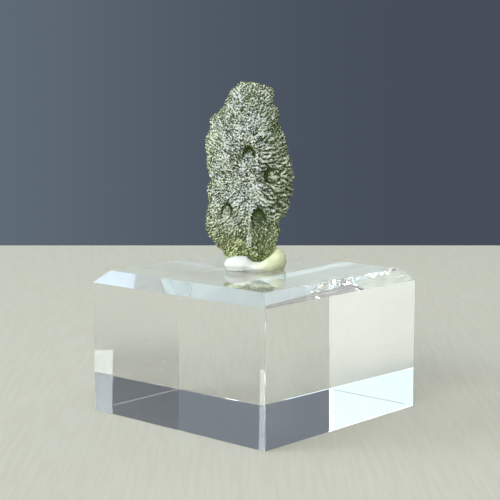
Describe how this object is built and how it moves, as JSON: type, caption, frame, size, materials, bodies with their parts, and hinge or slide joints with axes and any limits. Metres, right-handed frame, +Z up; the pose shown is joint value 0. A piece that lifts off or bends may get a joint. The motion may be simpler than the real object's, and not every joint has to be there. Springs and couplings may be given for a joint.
{
  "type": "moldavite specimen on a clear display block",
  "caption": "Upright natural green glass stone with an etched, furrowed skin, set in a dab of putty on a clear square block with bevelled top edges.",
  "frame": {"origin": "middle of the block's base, on the surface that it stands on", "axes": "+Z up; the stone's broad front face looks along -Y, and +X runs to the right across that face; the block is turned 48 degrees about Z, so that one of its corners points to the front"},
  "size_m": [0.0706, 0.0706, 0.0718],
  "materials": {
    "moldavite_glass": "glossy natural glass, olive green, etched all over, see-through at thin edges",
    "putty": "soft matt off-white putty, faintly green",
    "clear_block": "polished, water clear"
  },
  "bodies": {
    "root": {"moldavite": "moldavite_glass", "mounting_putty": "putty", "display_block": "clear_block"}
  },
  "joints": []
}
